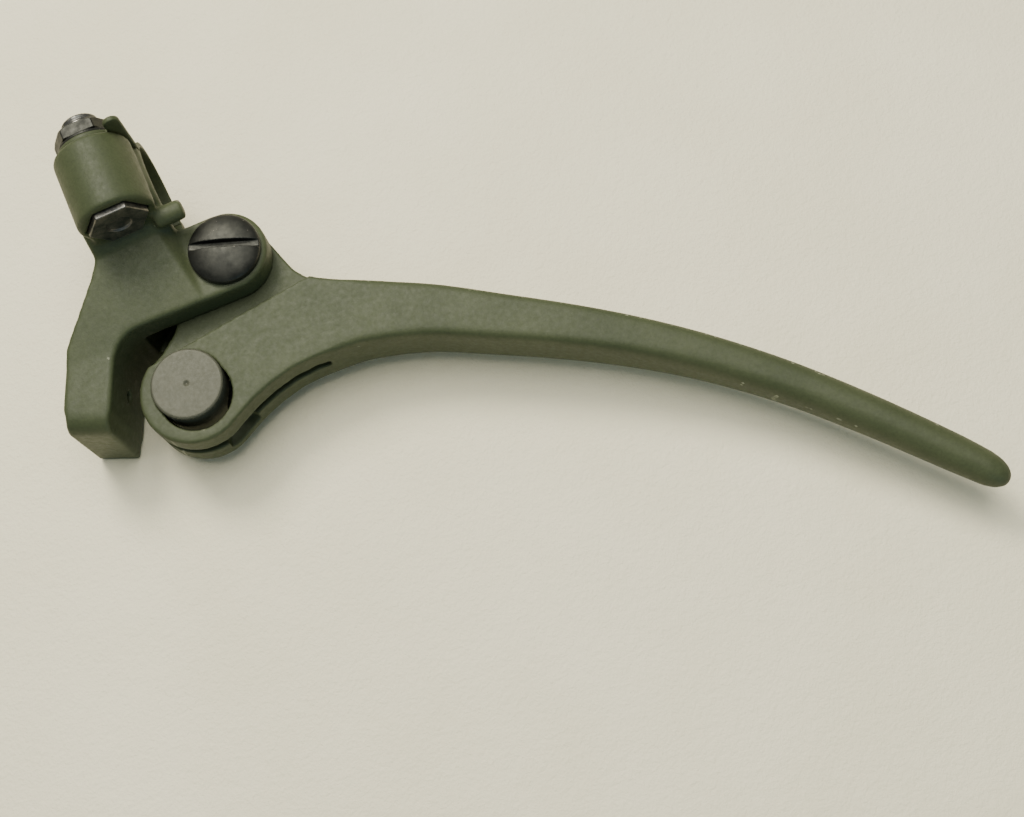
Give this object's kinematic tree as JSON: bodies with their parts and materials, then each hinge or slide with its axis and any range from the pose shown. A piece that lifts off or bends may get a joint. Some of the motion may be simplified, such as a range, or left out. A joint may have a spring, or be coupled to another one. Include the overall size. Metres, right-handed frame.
{
  "type": "motorcycle hand lever and bracket",
  "caption": "Forged hand lever pivoting in a forked bracket that clamps to a round handlebar, with a cable housing seat and a turning cable anchor pin.",
  "frame": {"origin": "centre of the handlebar bore, midway along the clamp's width", "axes": "+X along the handlebar towards the grip end, +Z parallel to the lever's pivot axis, +Y across the bar away from the lever"},
  "size_m": [0.1939, 0.1653, 0.0501],
  "materials": {
    "olive_paint": "satin military olive paint over a forging",
    "blackened_steel": "blackened, worn satin",
    "bare_steel": "dull bare steel",
    "machined_steel": "dull turned steel",
    "bronze": "plain bronze bearing"
  },
  "bodies": {
    "bracket_body": {"bracket": "olive_paint", "clamp_strap": "olive_paint", "clamp_bolt": "bare_steel", "clamp_nut": "blackened_steel", "clamp_lock_washer": "blackened_steel", "pivot_screw": "blackened_steel"},
    "lever_body": {"lever": "olive_paint", "pivot_bushing": "bronze"},
    "anchor_pin_body": {"cable_anchor_pin": "machined_steel"}
  },
  "joints": [
    {"name": "lever_pivot", "type": "hinge", "parent": "bracket_body", "child": "lever_body", "pos_m": [0.019, -0.0225, -0.009], "axis": [0, 0, 1], "range_deg": [-7, 35]},
    {"name": "anchor_pin_turn", "type": "hinge", "parent": "lever_body", "child": "anchor_pin_body", "pos_m": [-0.00183, -0.0481, -0.009], "axis": [0, 0, 1], "continuous": true}
  ]
}
